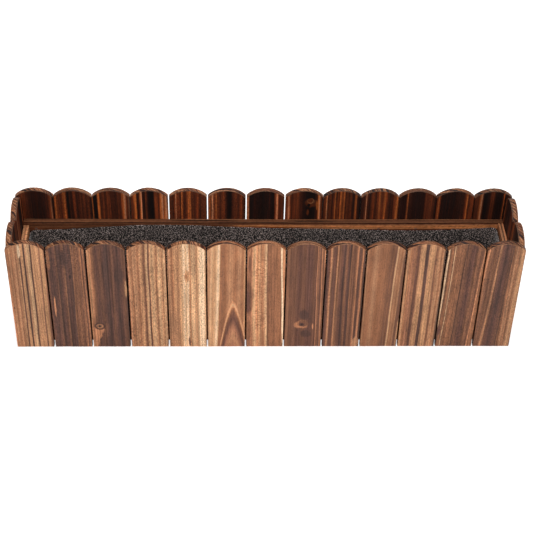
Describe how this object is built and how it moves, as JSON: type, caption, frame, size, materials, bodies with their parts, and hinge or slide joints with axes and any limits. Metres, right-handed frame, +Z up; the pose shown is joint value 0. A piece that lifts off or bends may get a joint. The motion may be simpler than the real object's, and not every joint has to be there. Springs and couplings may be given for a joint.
{
  "type": "window box planter",
  "caption": "Long window box planter walled with round-topped wooden pickets on inner rails, with floor boards and a hanging felt liner.",
  "frame": {"origin": "on the ground under the middle of the box", "axes": "+X along the box to the right of someone facing its front, +Y from the front row of pickets to the back row, +Z up"},
  "size_m": [1.0062, 0.1802, 0.272],
  "materials": {
    "fir_straw": "pale scorched and brushed fir, straw with tan grain",
    "fir_tan": "scorched and brushed fir, golden tan with brown stripes",
    "fir_russet": "scorched and brushed fir, red brown with lighter lines",
    "fir_brown": "scorched and brushed fir, chocolate brown with darker grain",
    "fir_plum": "deeply scorched fir, purple brown with reddish streaks",
    "fir_soot": "deeply scorched fir, almost black with orange brown lines",
    "liner_felt": "black needle-punched felt with fine pale fibres, matt",
    "steel": "bright wire steel, slightly dulled"
  },
  "bodies": {
    "root": {"front_picket_01": "fir_tan", "front_picket_02": "fir_plum", "front_picket_03": "fir_brown", "front_picket_04": "fir_tan", "front_picket_05": "fir_straw", "front_picket_06": "fir_russet", "front_picket_07": "fir_straw", "front_picket_08": "fir_brown", "front_picket_09": "fir_plum", "front_picket_10": "fir_russet", "front_picket_11": "fir_russet", "front_picket_12": "fir_brown", "front_picket_13": "fir_russet", "back_picket_01": "fir_brown", "back_picket_02": "fir_soot", "back_picket_03": "fir_plum", "back_picket_04": "fir_plum", "back_picket_05": "fir_brown", "back_picket_06": "fir_russet", "back_picket_07": "fir_soot", "back_picket_08": "fir_brown", "back_picket_09": "fir_plum", "back_picket_10": "fir_plum", "back_picket_11": "fir_soot", "back_picket_12": "fir_soot", "back_picket_13": "fir_plum", "left_picket_1": "fir_russet", "left_picket_2": "fir_brown", "right_picket_1": "fir_russet", "right_picket_2": "fir_brown", "top_rail_front": "fir_brown", "top_rail_back": "fir_brown", "top_rail_left": "fir_brown", "top_rail_right": "fir_brown", "bottom_rail_front": "fir_brown", "bottom_rail_back": "fir_brown", "bottom_rail_left": "fir_brown", "bottom_rail_right": "fir_brown", "floor_batten_left": "fir_brown", "floor_batten_right": "fir_brown", "floor_board_front": "fir_russet", "floor_board_back": "fir_russet", "liner": "liner_felt", "corner_nail_top_front_left": "steel", "corner_nail_bottom_front_left": "steel", "batten_nail_front_left": "steel", "corner_nail_top_front_right": "steel", "corner_nail_bottom_front_right": "steel", "batten_nail_front_right": "steel", "corner_nail_top_back_left": "steel", "corner_nail_bottom_back_left": "steel", "batten_nail_back_left": "steel", "corner_nail_top_back_right": "steel", "corner_nail_bottom_back_right": "steel", "batten_nail_back_right": "steel"}
  },
  "joints": []
}
